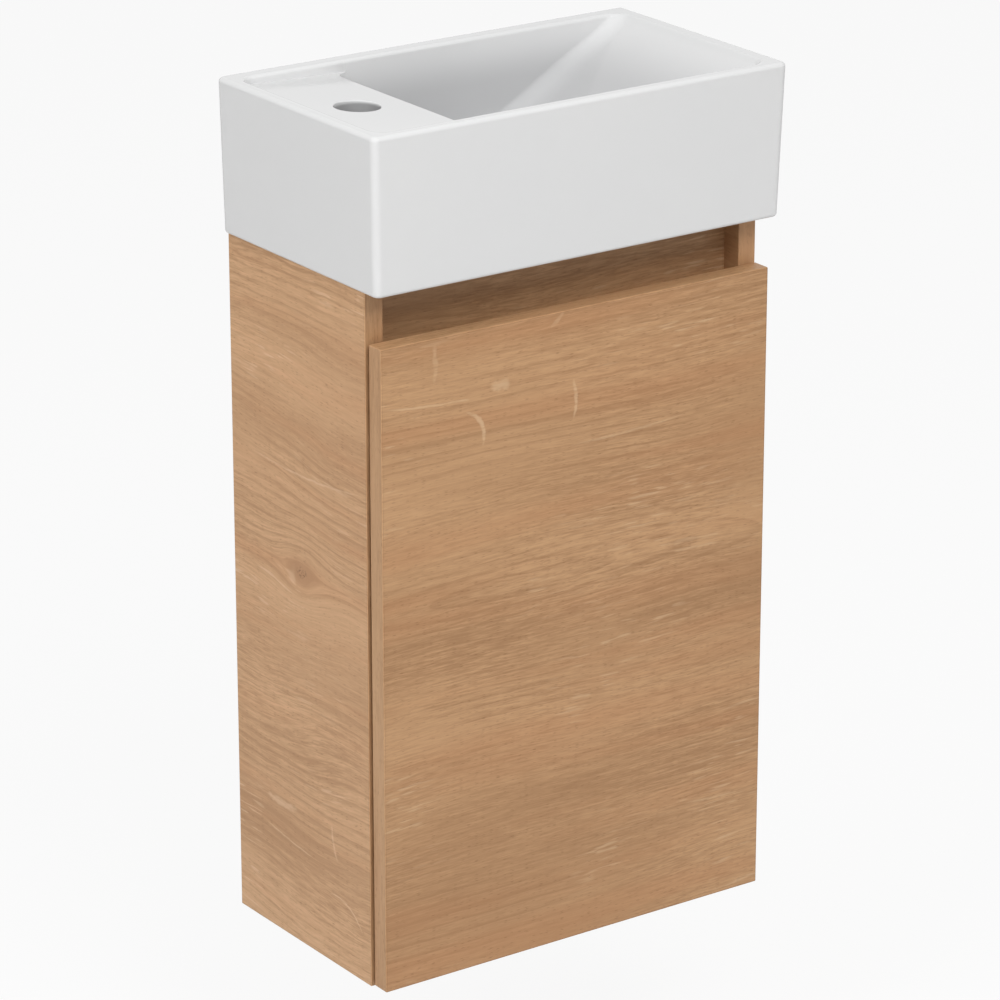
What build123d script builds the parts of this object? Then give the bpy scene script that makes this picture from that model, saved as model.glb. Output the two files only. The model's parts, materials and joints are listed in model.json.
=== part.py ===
from build123d import *
import math
import os

# Wall-hung cloakroom vanity unit, in millimetres.
# X runs to the right as seen from the front, Y runs back to the wall at y = 0, Z is up.
# The pieces are built with z = 0 at the cabinet's underside and written with z = 0 at the wall fixings.

# Cabinet
cabinet_width = 358.0
cabinet_depth = 185.0
cabinet_height = 554.0
board = 16.0
board_edge_round = 0.8
grip_rail_setback = 18.0
grip_rail_height = 74.0
rear_rail_height = 70.0
lower_rear_rail_height = 60.0
service_void = 18.0
shelf_height = 232.0
shelf_front_gap = 18.0
shelf_back_gap = 45.0
shelf_side_gap = 0.8

# Door
door_thickness = 16.0
door_side_reveal = 1.5
door_bottom_reveal = 1.5
door_gap = 2.5
finger_gap = 40.0
door_edge_round = 1.0
buffer_radius = 4.0
buffer_height = 2.2
buffer_from_end = 20.0

# Basin
basin_side_lap = 8.0
basin_front_lap = 26.0
basin_height = 121.0
skirt_draft = 3.2
skirt_wall = 12.0
skirt_corner = 5.5
rim_left = 11.0
rim_right = 12.0
rim_front = 10.5
rim_back = 14.5
rim_outer_round = 3.5
rim_inner_round = 3.0
skirt_foot_round = 3.0
bowl_corner = 12.0
bowl_depth = 85.0
bowl_wall = 11.0
bowl_floor_wall = 12.0
bowl_floor_round = 20.0
bowl_floor_corner = 30.0
ramp_angle = 31.0
ramp_start_depth = 6.0
ramp_wall = 3.0
ledge_width = 82.0
tap_hole_from_left = 54.5
ledge_drop = 5.5
ledge_fall = 3.5
tap_hole_radius = 17.5
tap_hole_lip = 1.0
waste_hole_radius = 23.0
waste_seat_radius = 33.0
waste_seat_depth = 2.5
waste_boss_radius = 35.0
waste_boss_height = 28.0
waste_from_left = 168.0
basin_stud_radius = 6.0
basin_stud_spacing = 280.0
basin_stud_height = 45.0

# Concealed hinges: the pivots are given from the cup's centre on the door's back face,
# first along X, then along Y
cup_radius = 17.5
cup_depth = 12.5
cup_wall = 1.1
cup_floor = 0.8
cup_to_panel = 8.0
cup_fit = 0.1
hinge_from_end = 90.0
opening_angle = 100.0
arm_rear_pivot = (-10.6, 10.4)
arm_front_pivot = (-12.0, -8.7)
cup_outer_pivot = (11.5, -3.2)
cup_inner_pivot = (7.1, -5.9)
outer_link_bend = (5.2, -7.0)
outer_link_ratio = -0.312
inner_link_ratio = -0.342
pin_radius = 1.0
pin_fit = 0.03
link_fit = 0.08
knuckle_radius = 2.4
link_neck = 3.6
inner_link_width = 2.6
lug_radius = 2.2
sheet = 1.2
layer_gap = 0.2
inner_link_half = 2.6
inner_lug_thickness = 1.4
open_pivot_fit = 0.12
open_pivot_wall = 0.8
passing_gap = 0.2
flange_thickness = 1.2
flange_lip = 1.5
cup_screw_spacing = 52.0
cup_screw_offset = 5.5
cup_ear_radius = 6.5
wood_screw_radius = 1.7
wood_screw_length = 12.0
wood_screw_head = 3.4
plate_screw_radius = 3.1
plate_screw_length = 11.5
plate_screw_head = 4.2
plate_screw_spacing = 32.0
plate_setback = 37.0
plate_thickness = 2.0
plate_wing_radius = 5.5
arm_height = 22.6
arm_length = 52.0
spine_height = 16.0
spine_half_width = 6.6
spine_top_wall = 1.6
spine_side_wall = 1.4
spine_start = 13.0
spine_end_gap = 6.0
adjuster_radius = 2.4
adjuster_setbacks = (16.0, 40.0)
adjuster_head = 3.6
spring_thickness = 0.8
spring_half_width = 3.6

# Knock-down fittings
cam_radius = 7.5
cam_depth = 12.5
cam_from_end = 24.0
bottom_cam_setback = 46.25
bottom_dowel_setback = 46.25
cam_fit = 0.05
cam_bolt_radius = 3.5
cam_bolt_head = 3.0
cam_bolt_neck = 1.6
cam_bolt_play = 0.4
cam_bolt_depth = 11.0
dowel_radius = 4.0
dowel_length = 30.0
dowel_in_side = 10.0
fitting_fit = 0.05

# Shelf supports
shelf_pin_radius = 2.5
shelf_pin_depth = 8.0
shelf_pin_reach = 9.0
shelf_pin_setback = 28.0
shelf_pin_back_setback = 18.0
shelf_rest_half = 4.0
shelf_rest_thickness = 2.0
shelf_collar_radius = 4.0
shelf_collar_length = 1.5

# Cabinet hangers, one in each upper rear corner, measured from the side panel's inner face
hanger_width = 52.0
hanger_height = 52.0
hanger_top_gap = 6.0
hanger_sheet = 1.5
hanger_front_gap = 0.5
hanger_back_gap = 0.8
hanger_stud_wall = 0.25
hanger_stud_length = 11.0
hook_from_side = 36.0
hook_width = 14.0
hook_play = 1.0
hook_body_depth = 5.0
hook_body_height = 28.0
hook_wall_gap = 1.2
hook_depth = 2.6
hook_top = 10.0
claw_reach = 11.0
wall_plate_sheet = 2.0
wall_plate_width = 34.0
wall_plate_height = 50.0
wall_plate_lip = 12.0
wall_plate_offset = 4.2
wall_plate_step = 3.0
wall_plate_bend = 1.2
wall_hole_radius = 3.25
wall_hole_spacing = 32.0
access_hole_radius = 6.0
hanger_screw_head = 4.5
hanger_screw_shank = 2.9
hook_seat_below_top = 23.0

# Derived places
inner_half = cabinet_width / 2 - board
outer_half = cabinet_width / 2
basin_width = cabinet_width + 2 * basin_side_lap
basin_depth = cabinet_depth + basin_front_lap
panel_front = -cabinet_depth
door_back = panel_front - door_gap
door_front = door_back - door_thickness
door_half = outer_half - door_side_reveal
door_top = cabinet_height - finger_gap
cup_x = inner_half - cup_to_panel
hinge_heights = {"lower": door_bottom_reveal + hinge_from_end, "upper": door_top - hinge_from_end}
basin_foot = cabinet_height
basin_rim = cabinet_height + basin_height
basin_left = -basin_width / 2
ledge_edge_x = basin_left + rim_left + ledge_width
waste_x = basin_left + waste_from_left
bowl_middle_y = -(rim_back + basin_depth - rim_front) / 2
hook_seat = cabinet_height - hook_seat_below_top
wall_plate_top = hook_seat - wall_plate_lip
wall_plate_middle = wall_plate_top - wall_plate_step - wall_plate_height / 2
fixing_height = wall_plate_middle
hanger_front = hanger_front_gap - service_void
hanger_back = -wall_plate_offset - wall_plate_sheet - hanger_back_gap
hanger_stud_radius = (hanger_back - hanger_front) / 2 - hanger_stud_wall
rear_rail_y = -service_void - board / 2
grip_rail_y = panel_front + grip_rail_setback + board / 2
inner_lug_top = inner_link_half + layer_gap + inner_lug_thickness
outer_link_half = inner_lug_top + layer_gap + sheet
nose_half = outer_link_half + layer_gap + sheet
outer_lug_foot = nose_half + 0.3
outer_lug_top = outer_lug_foot + 1.6


def block(x0, x1, y0, y1, z0, z1):
    """A block between two corners."""
    centre = Pos((x0 + x1) / 2, (y0 + y1) / 2, (z0 + z1) / 2)
    return centre * Box(x1 - x0, y1 - y0, z1 - z0)


def rod(axis, start, end, radius):
    """A round bar along "x", "y" or "z" from one end point to the other."""
    turn = {"x": Rot(0, 90, 0), "y": Rot(90, 0, 0), "z": Rot(0, 0, 0)}[axis]
    middle = [(a + b) / 2 for a, b in zip(start, end)]
    length = max(abs(a - b) for a, b in zip(start, end))
    return Pos(*middle) * turn * Cylinder(radius, length)


def eased(solid, radius):
    """The solid with every edge rounded."""
    return fillet(solid.edges(), radius)


def all_solids(shapes):
    """One compound that keeps each piece as its own solid."""
    return Compound(children=[s for shape in shapes for s in shape.solids()])


# Basin


def plan(x0, x1, y0, y1, radius, z):
    """A horizontal rounded outline at a height."""
    return Pos((x0 + x1) / 2, (y0 + y1) / 2, z) * RectangleRounded(x1 - x0, y1 - y0, radius)


def skirt():
    """The outside of the basin: drafted sides, a flat back on the wall, rounded corners."""
    half = basin_width / 2
    foot_half = half - skirt_draft
    foot = plan(-foot_half, foot_half, -basin_depth + skirt_draft, 0, skirt_corner, basin_foot)
    rim = plan(-half, half, -basin_depth, 0, skirt_corner, basin_rim)
    body = loft([foot, rim])
    top_edges = body.edges().filter_by_position(Axis.Z, basin_rim - 0.01, basin_rim + 0.01)
    body = fillet(top_edges, rim_outer_round)
    foot_edges = body.edges().filter_by_position(Axis.Z, basin_foot - 0.01, basin_foot + 0.01)
    return fillet(foot_edges, skirt_foot_round)


def ramp_x(depth):
    """The right wall of the bowl: straight down at the rim, then the long ramp."""
    run = max(0.0, depth - ramp_start_depth) / math.tan(math.radians(ramp_angle))
    return basin_width / 2 - rim_right - min(depth, ramp_start_depth) * 0.8 - run


def bowl_levels():
    """Depth and inset of each level of the bowl; the last ones turn the wall into the floor."""
    straight = bowl_depth - bowl_floor_round
    levels = [(share * straight, 0.0) for share in (0.0, 0.1, 0.4, 0.7)]
    for turn in (0, 30, 60, 90):
        angle = math.radians(turn)
        levels.append(
            (straight + bowl_floor_round * math.sin(angle), bowl_floor_round * (1 - math.cos(angle)))
        )
    return levels


def bowl(grow_side=0.0, grow_ramp=0.0, sink=0.0):
    """The space inside the bowl, or with the three growths the outside of its wall."""
    sections = []
    for depth, inset in bowl_levels():
        share = depth / bowl_depth
        left = ledge_edge_x + 6.0 * share + inset - grow_side
        right = ramp_x(depth) - inset + grow_ramp
        back = -rim_back - 7.0 * share - inset + grow_side
        front = -basin_depth + rim_front + 6.0 * share + inset - grow_side
        corner = bowl_corner + (bowl_floor_corner - bowl_corner) * share + grow_side
        corner = min(corner, (back - front) / 2 - 1, (right - left) / 2 - 1)
        sections.append(plan(left, right, front, back, corner, basin_rim - depth - sink))
    body = loft(sections)
    mouth = sections[0]
    body += extrude(mouth, amount=sink + 10.0)
    return body


def ledge_line(x):
    """Height of the tap ledge, which falls towards the bowl."""
    share = (x - basin_left - rim_left) / ledge_width
    return basin_rim - ledge_drop - ledge_fall * share


def above_ledge(offset, x0, x1, y0, y1):
    """Everything over the ledge's sloping face, lowered by the offset."""
    side = Polyline(
        (x0, ledge_line(x0) - offset),
        (x1, ledge_line(x1) - offset),
        (x1, basin_rim + 10),
        (x0, basin_rim + 10),
        close=True,
    )
    face = Plane.XZ.offset(-y1) * make_face(side)
    return extrude(face, amount=y1 - y0)


def ledge_pocket():
    """The sunk space over the tap ledge, inside the rim."""
    x0 = basin_left + rim_left
    x1 = ledge_edge_x + bowl_corner
    y0 = -basin_depth + rim_front
    outline = plan(x0, x1 + bowl_corner, y0, -rim_back, bowl_corner, basin_rim - 40)
    prism = extrude(outline, amount=60)
    return prism & above_ledge(0, x0 - 1, x1, y0 - 1, 1)


def underside():
    """The hollow under the basin, left between the skirt, the ledge and the bowl."""
    half = basin_width / 2 - skirt_draft - skirt_wall
    y0 = -basin_depth + skirt_draft + skirt_wall
    outline = plan(-half, half, y0, -skirt_wall, skirt_corner, basin_foot - 5)
    space = extrude(outline, amount=basin_height)
    space -= bowl(bowl_wall, ramp_wall, bowl_floor_wall)
    space -= above_ledge(bowl_wall, -basin_width, basin_width, -basin_depth - 1, 1)
    floor_z = basin_rim - bowl_depth
    boss_foot = floor_z - waste_boss_height
    space -= Pos(waste_x, bowl_middle_y, boss_foot + 50) * Cylinder(waste_boss_radius, 100)
    return space


def basin():
    """The ceramic basin in one piece."""
    body = skirt()
    body -= bowl()
    body -= ledge_pocket()
    inner_edges = [
        e
        for e in body.edges().filter_by_position(Axis.Z, basin_rim - 0.01, basin_rim + 0.01)
        if e.center().Y < -rim_back + 0.5
        and e.center().Y > -basin_depth + rim_front - 0.5
        and abs(e.center().X) < basin_width / 2 - rim_left + 1.5
    ]
    body = fillet(inner_edges, rim_inner_round)
    body -= underside()
    tap_x = basin_left + tap_hole_from_left
    body -= rod("z", (tap_x, bowl_middle_y, basin_foot + 50), (tap_x, bowl_middle_y, basin_rim + 5), tap_hole_radius)
    middles = {edge: edge.bounding_box().center() for edge in body.edges()}
    mouth = [
        edge
        for edge, middle in middles.items()
        if math.dist((middle.X, middle.Y), (tap_x, bowl_middle_y)) < 1 and middle.Z > ledge_line(tap_x) - 1
    ]
    body = fillet(mouth, tap_hole_lip)
    floor_z = basin_rim - bowl_depth
    body -= rod(
        "z", (waste_x, bowl_middle_y, basin_foot - 5), (waste_x, bowl_middle_y, basin_rim), waste_hole_radius
    )
    seat = Cone(waste_hole_radius, waste_seat_radius, waste_seat_depth)
    body -= Pos(waste_x, bowl_middle_y, floor_z - waste_seat_depth / 2) * seat
    for side in (-1, 1):
        x = side * basin_stud_spacing / 2
        z = basin_foot + basin_stud_height
        body -= rod("y", (x, -skirt_wall - 8, z), (x, 5, z), basin_stud_radius)
    return body


# Knock-down fittings: each end of a stretcher board has one cam fitting and one dowel

stretcher_ends = {
    "bottom_panel": ("z", (panel_front + bottom_cam_setback, board / 2), (-bottom_dowel_setback, board / 2)),
    "grip_rail": (
        "y",
        (grip_rail_y, cabinet_height - grip_rail_height + 20),
        (grip_rail_y, cabinet_height - 20),
    ),
    "rear_top_rail": (
        "y",
        (rear_rail_y, cabinet_height - rear_rail_height + 14),
        (rear_rail_y, cabinet_height - 16),
    ),
    "rear_bottom_rail": (
        "y",
        (rear_rail_y, board + 18),
        (rear_rail_y, board + lower_rear_rail_height - 14),
    ),
}
cam_face = {"bottom_panel": 1, "grip_rail": 1, "rear_top_rail": -1, "rear_bottom_rail": -1}


def cam_place(name, side):
    """The cam's centre on its board's face, and the way the face looks."""
    axis, cam, _ = stretcher_ends[name]
    x = side * (inner_half - cam_from_end)
    look = cam_face[name]
    if axis == "z":
        return (x, cam[0], cam[1] + look * board / 2), (0, 0, look)
    return (x, cam[0] + look * board / 2, cam[1]), (0, look, 0)


def cam_cylinder(name, side, radius, depth):
    """A round shape that goes into the board's face at the cam."""
    (x, y, z), look = cam_place(name, side)
    end = (x, y - look[1] * depth, z - look[2] * depth)
    return rod(stretcher_ends[name][0], (x, y, z), end, radius)


def stretcher_cuts(name):
    """Every bore in one stretcher board."""
    _, cam, dowel = stretcher_ends[name]
    cuts = []
    for side in (-1, 1):
        end_x = side * inner_half
        cam_x = side * (inner_half - cam_from_end)
        cuts.append(cam_cylinder(name, side, cam_radius, cam_depth))
        cuts.append(rod("x", (cam_x, *cam), (end_x + side, *cam), dowel_radius))
        deep = side * (inner_half - (dowel_length - dowel_in_side) - 1)
        cuts.append(rod("x", (deep, *dowel), (end_x + side, *dowel), dowel_radius))
    return cuts


def side_joint_cuts(side):
    """The bores in a side panel for the stretchers' bolts and dowels."""
    cuts = []
    for _, cam, dowel in stretcher_ends.values():
        face = side * inner_half
        bolt_end = side * (inner_half + cam_bolt_depth + 0.5)
        dowel_end = side * (inner_half + dowel_in_side + 0.5)
        cuts.append(rod("x", (face - side, *cam), (bolt_end, *cam), cam_bolt_radius))
        cuts.append(rod("x", (face - side, *dowel), (dowel_end, *dowel), dowel_radius))
    return cuts


def cam_locks():
    """The eccentric discs that pull the bolts in, with a cross recess in the face."""
    locks = []
    for name, (axis, cam, _) in stretcher_ends.items():
        for side in (-1, 1):
            lock = cam_cylinder(name, side, cam_radius - cam_fit, cam_depth - cam_fit)
            (x, y, z), look = cam_place(name, side)
            mouth = side * (inner_half - cam_from_end + cam_radius + 1)
            centre = (side * (inner_half - cam_from_end), *cam)
            lock -= rod("x", centre, (mouth, *cam), cam_bolt_head + cam_bolt_play)
            lock -= Pos(*centre) * Sphere(cam_bolt_head + cam_bolt_play)
            for turn in (0, 90):
                bar = Box(8.0, 1.4, 3.0)
                tilt = Rot(0, 0, turn) if axis == "z" else Rot(90, 0, 0) * Rot(0, 0, turn)
                lock -= Pos(x, y, z) * tilt * bar
            locks.append(lock)
    return all_solids(locks)


def cam_bolts():
    """The bolts in the side panels that the cams pull on."""
    bolts = []
    for _, cam, _ in stretcher_ends.values():
        for side in (-1, 1):
            head_x = side * (inner_half - cam_from_end)
            neck_x = head_x + side * (cam_radius + 1.0)
            tip_x = side * (inner_half + cam_bolt_depth)
            bolt = Pos(head_x, *cam) * Sphere(cam_bolt_head - 0.1)
            bolt += rod("x", (head_x, *cam), (neck_x, *cam), cam_bolt_neck)
            bolt += rod("x", (neck_x, *cam), (tip_x, *cam), cam_bolt_radius - fitting_fit)
            bolts.append(bolt)
    return all_solids(bolts)


def dowels():
    """The wooden dowels that line the boards up."""
    pegs = []
    for _, _, dowel in stretcher_ends.values():
        for side in (-1, 1):
            inside = side * (inner_half - dowel_length + dowel_in_side)
            outside = side * (inner_half + dowel_in_side)
            peg = rod("x", (inside, *dowel), (outside, *dowel), dowel_radius - fitting_fit)
            pegs.append(chamfer(peg.edges().filter_by(GeomType.CIRCLE), 0.8))
    return all_solids(pegs)


# Boards


def shelf_pin_places(side):
    """Where the four shelf supports go."""
    front = panel_front + grip_rail_setback + shelf_pin_setback
    back = -shelf_back_gap - shelf_pin_back_setback
    return [(side * inner_half, y, shelf_height - shelf_pin_radius) for y in (front, back)]


def plate_screw_places():
    """Where the hinge plates are screwed to the right-hand side panel."""
    y = panel_front + plate_setback
    return [
        (inner_half, y, h + s * plate_screw_spacing / 2) for h in hinge_heights.values() for s in (-1, 1)
    ]


def hanger_stud_places(side):
    """Where a hanger's two studs go into its side panel."""
    y = (hanger_front + hanger_back) / 2
    bottom = cabinet_height - hanger_top_gap - hanger_height
    return [(side * inner_half, y, bottom + share * hanger_height) for share in (0.25, 0.75)]


def side_panel(side):
    """One side board with the bores of everything that is fixed to it."""
    x0, x1 = sorted((side * inner_half, side * outer_half))
    panel = eased(block(x0, x1, panel_front, 0, 0, cabinet_height), board_edge_round)
    cuts = side_joint_cuts(side)
    for x, y, z in shelf_pin_places(side):
        cuts.append(rod("x", (x - side, y, z), (x + side * (shelf_pin_depth + 0.5), y, z), shelf_pin_radius))
    for x, y, z in hanger_stud_places(side):
        end = (x + side * (hanger_stud_length + 0.5), y, z)
        cuts.append(rod("x", (x - side, y, z), end, hanger_stud_radius))
    if side > 0:
        for x, y, z in plate_screw_places():
            cuts.append(rod("x", (x - 1, y, z), (x + plate_screw_length + 0.5, y, z), plate_screw_radius))
    return panel - cuts


def stretcher(name, y0, y1, z0, z1):
    """A board between the two side panels."""
    return block(-inner_half, inner_half, y0, y1, z0, z1) - stretcher_cuts(name)


def rear_top_rail():
    """The hanging rail, with two holes a side that let a screwdriver reach the hanger."""
    bottom = cabinet_height - rear_rail_height
    rail = stretcher("rear_top_rail", -service_void - board, -service_void, bottom, cabinet_height)
    for side in (-1, 1):
        for x, z in hanger_screw_places(side):
            start = (x, -service_void - board - 1, z)
            rail -= rod("y", start, (x, -service_void + 1, z), access_hole_radius)
    return rail


def shelf():
    """The loose shelf, which stops short of the pipes at the back."""
    half = inner_half - shelf_side_gap
    front = panel_front + shelf_front_gap
    return eased(block(-half, half, front, -shelf_back_gap, shelf_height, shelf_height + board), 0.6)


def shelf_pins():
    """Four plug-in shelf supports, each a peg with a flat rest."""
    pins = []
    for side in (-1, 1):
        for x, y, z in shelf_pin_places(side):
            face = x - side * shelf_collar_length
            peg = rod("x", (face, y, z), (x + side * shelf_pin_depth, y, z), shelf_pin_radius - fitting_fit)
            collar_z = z + shelf_pin_radius - shelf_collar_radius
            collar = rod("x", (face, y, collar_z), (x, y, collar_z), shelf_collar_radius)
            x0, x1 = sorted((x, x - side * shelf_pin_reach))
            top = z + shelf_pin_radius
            rest = block(x0, x1, y - shelf_rest_half, y + shelf_rest_half, top - shelf_rest_thickness, top)
            pins.append(peg + collar + rest)
    return all_solids(pins)


def cup_screw_places():
    """Where the hinge cups are screwed to the door's back."""
    x = cup_x - cup_screw_offset
    return [
        (x, door_back, h + s * cup_screw_spacing / 2) for h in hinge_heights.values() for s in (-1, 1)
    ]


def door_panel():
    """The door board with its two cup bores and the screw holes round them."""
    panel = block(-door_half, door_half, door_front, door_back, door_bottom_reveal, door_top)
    panel = eased(panel, door_edge_round)
    cuts = []
    for h in hinge_heights.values():
        bottom = (cup_x, door_back - cup_depth - cup_fit, h)
        cuts.append(rod("y", bottom, (cup_x, door_back + 1, h), cup_radius + cup_fit))
    for x, y, z in cup_screw_places():
        cuts.append(rod("y", (x, y - wood_screw_length - 0.5, z), (x, y + 1, z), wood_screw_radius))
    return panel - cuts


def door_buffers():
    """Soft stops on the free side of the door, facing the left side panel's front edge."""
    x = -(inner_half + board / 2)
    heights = (door_bottom_reveal + buffer_from_end, door_top - buffer_from_end)
    pads = []
    for z in heights:
        pad = rod("y", (x, door_back, z), (x, door_back + buffer_height, z), buffer_radius)
        tip = pad.edges().filter_by(GeomType.CIRCLE).sort_by(Axis.Y)[-1]
        pads.append(fillet(tip, 1.2))
    return all_solids(pads)


# Concealed hinge, seen from above: points are (along X, along Y) from the cup's centre


def turned(point, centre, degrees):
    """A point turned about a centre."""
    angle = math.radians(degrees)
    u = point[0] - centre[0]
    v = point[1] - centre[1]
    return (
        centre[0] + u * math.cos(angle) - v * math.sin(angle),
        centre[1] + u * math.sin(angle) + v * math.cos(angle),
    )


def path_in_inner_link(point, steps):
    """The way of a point of the door, as the inner link sees it while the door opens."""
    path = []
    for step in range(steps + 1):
        opening = opening_angle * step / steps
        outer = turned(cup_outer_pivot, arm_rear_pivot, outer_link_ratio * opening)
        lever = turned(point, cup_outer_pivot, opening)
        place = (
            outer[0] + lever[0] - cup_outer_pivot[0],
            outer[1] + lever[1] - cup_outer_pivot[1],
        )
        path.append(turned(place, arm_front_pivot, -inner_link_ratio * opening))
    return path


def open_pivot_slot(margin):
    """The outline that clears the inner cup pin on its whole way, with a margin."""
    path = path_in_inner_link(cup_inner_pivot, 20)
    corner = pin_radius + margin
    low = [min(p[i] for p in path) - corner for i in (0, 1)]
    high = [max(p[i] for p in path) + corner for i in (0, 1)]
    shape = RectangleRounded(high[0] - low[0], high[1] - low[1], corner - 0.01)
    return Pos((low[0] + high[0]) / 2, (low[1] + high[1]) / 2) * shape


def disc(point, radius):
    """A circle in the hinge's plan."""
    return Pos(*point) * Circle(radius)


def bar(a, b, width):
    """A straight strip between two points of the hinge's plan."""
    length = math.dist(a, b)
    angle = math.degrees(math.atan2(b[1] - a[1], b[0] - a[0]))
    return Pos((a[0] + b[0]) / 2, (a[1] + b[1]) / 2) * Rot(0, 0, angle) * Rectangle(length, width)


def slab(height, outline, z0, z1):
    """A hinge outline given thickness, at one hinge's height."""
    return Pos(cup_x, door_back, height + z0) * extrude(outline, amount=z1 - z0)


def pair_of_slabs(height, outline, z0, z1):
    """The same outline above and below the hinge's middle."""
    return slab(height, outline, z0, z1) + slab(height, outline, -z1, -z0)


def inner_link(height):
    """The short link: an eye as wide as the arm on its front pin, a slotted end on the inner cup pin."""
    path = path_in_inner_link(cup_inner_pivot, 20)
    end = tuple(sum(p[i] for p in path) / len(path) for i in (0, 1))
    outline = open_pivot_slot(open_pivot_fit + open_pivot_wall) + bar(arm_front_pivot, end, inner_link_width)
    outline -= open_pivot_slot(open_pivot_fit)
    passing = path_in_inner_link(cup_outer_pivot, 10)
    for a, b in zip(passing, passing[1:]):
        outline -= bar(a, b, 2 * (pin_radius + passing_gap)) + disc(b, pin_radius + passing_gap)
    link = slab(height, outline, -inner_link_half, inner_link_half)
    eye_half = nose_half - sheet - layer_gap
    link += slab(height, disc(arm_front_pivot, knuckle_radius), -eye_half, eye_half)
    return link - slab(height, disc(arm_front_pivot, pin_radius + link_fit), -eye_half, eye_half)


def outer_link(height):
    """The long link: two cranked cheeks that reach round the cup's rim, joined by a web near the arm."""
    a, b, bend = arm_rear_pivot, cup_outer_pivot, outer_link_bend
    cheek = disc(a, knuckle_radius) + disc(b, knuckle_radius) + disc(bend, link_neck / 2)
    cheek += bar(b, bend, link_neck) + bar(bend, a, link_neck)
    cheek -= disc(a, pin_radius + link_fit)
    cheek -= disc(b, pin_radius + link_fit)
    link = pair_of_slabs(height, cheek, outer_link_half - sheet, outer_link_half)
    length = math.dist(bend, a)
    along = ((a[0] - bend[0]) / length, (a[1] - bend[1]) / length)
    rise = (link_neck - sheet) / 2
    ends = []
    for share in (0.45, 0.8):
        ends.append(
            (
                bend[0] + along[0] * length * share + along[1] * rise,
                bend[1] + along[1] * length * share - along[0] * rise,
            )
        )
    inside = outer_link_half - sheet
    return link + slab(height, bar(ends[0], ends[1], sheet), -inside, inside)


def pins_at(points, half):
    """Round pins through both hinges at some points of their plan."""
    pins = []
    for h in hinge_heights.values():
        for u, v in points:
            x, y = cup_x + u, door_back + v
            pins.append(rod("z", (x, y, h - half), (x, y, h + half), pin_radius))
    return pins


def arm_pins():
    """The riveted pins in the arms."""
    return all_solids(pins_at((arm_rear_pivot, arm_front_pivot), nose_half))


def cup_pins():
    """The riveted pins in the cups: a long one for the outer link, a short one for the inner link."""
    return all_solids(pins_at([cup_outer_pivot], outer_lug_top) + pins_at([cup_inner_pivot], inner_lug_top))


def hinge_cup(height):
    """The pressed cup with its screw flange and the two lugs that hold the pins."""
    rim_y = door_back
    cup = rod("y", (cup_x, rim_y - cup_depth, height), (cup_x, rim_y, height), cup_radius)
    ears = Pos(-cup_screw_offset, 0) * Rot(0, 0, 90) * SlotCenterToCenter(cup_screw_spacing, 2 * cup_ear_radius)
    flange = Circle(cup_radius + flange_lip) + ears
    back_face = Plane(origin=(cup_x, rim_y, height), x_dir=(1, 0, 0), z_dir=(0, 1, 0))
    cup += extrude(back_face * flange, amount=flange_thickness)
    cup -= rod("y", (cup_x, rim_y - cup_depth + cup_floor, height), (cup_x, rim_y + 5, height), cup_radius - cup_wall)
    floor_v = -cup_depth + cup_floor / 2
    outer, inner = cup_outer_pivot, cup_inner_pivot
    big = disc(outer, lug_radius)
    big += Pos((outer[0] + cup_radius) / 2, (floor_v + outer[1]) / 2) * Rectangle(
        cup_radius - outer[0] + 2 * lug_radius, outer[1] - floor_v
    )
    big -= disc(outer, pin_radius + pin_fit)
    small = disc(inner, lug_radius)
    small += Pos(inner[0], (floor_v + inner[1]) / 2) * Rectangle(2 * lug_radius, inner[1] - floor_v)
    small -= disc(inner, pin_radius + pin_fit)
    lugs = pair_of_slabs(height, big, outer_lug_foot, outer_lug_top)
    lugs += pair_of_slabs(height, small, inner_link_half + layer_gap, inner_lug_top)
    cup += lugs & rod("y", (cup_x, rim_y - cup_depth, height), (cup_x, rim_y, height), cup_radius - cup_wall / 2)
    for s in (-1, 1):
        x = cup_x - cup_screw_offset
        z = height + s * cup_screw_spacing / 2
        cup -= rod("y", (x, rim_y - 1, z), (x, rim_y + 5, z), wood_screw_radius + 0.2)
    return cup


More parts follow.
